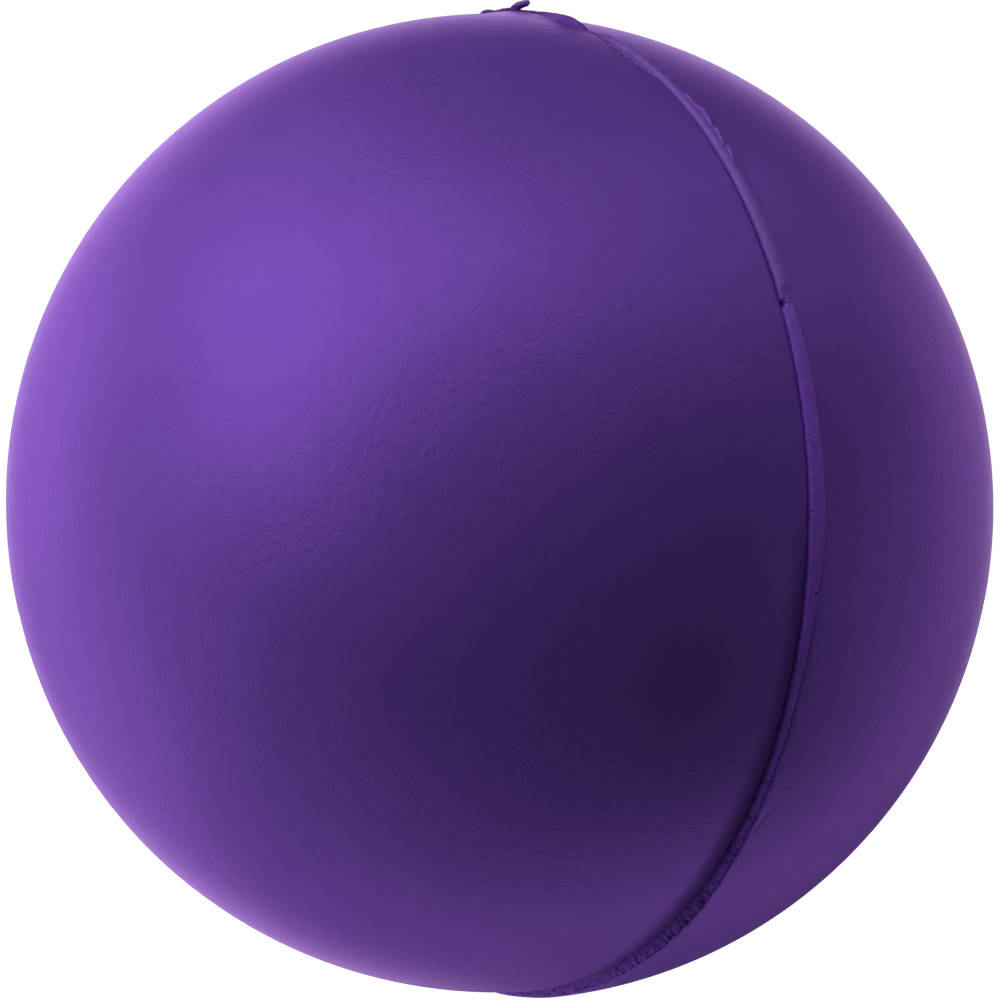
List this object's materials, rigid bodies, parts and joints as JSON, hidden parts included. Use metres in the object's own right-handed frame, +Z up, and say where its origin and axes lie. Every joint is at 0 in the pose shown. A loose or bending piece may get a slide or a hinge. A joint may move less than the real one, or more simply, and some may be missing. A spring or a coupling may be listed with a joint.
{
  "type": "moulded foam ball",
  "caption": "Soft self-skinned foam ball for the hand, with a trimmed parting line that carries a bead of flash, a frill and a torn nib.",
  "frame": {"origin": "centre of the ball", "axes": "+X along the direction in which the mould opens, square to the parting line; +Z up, through the torn nib; -Y to the front"},
  "size_m": [0.063, 0.0634, 0.0642],
  "materials": {
    "purple_skin": "satin, closed foam skin with shallow orange peel",
    "purple_flash": "cut and torn foam, matt",
    "foam_cells": "open foam cells, matt"
  },
  "bodies": {
    "root": {"foam_core": "foam_cells", "skin_half_left": "purple_skin", "skin_half_right": "purple_skin", "flash_bead_upper": "purple_flash", "flash_bead_lower": "purple_flash", "flash_bead_rear": "purple_flash", "flash_frill": "purple_flash", "flash_nib": "purple_flash"}
  },
  "joints": []
}
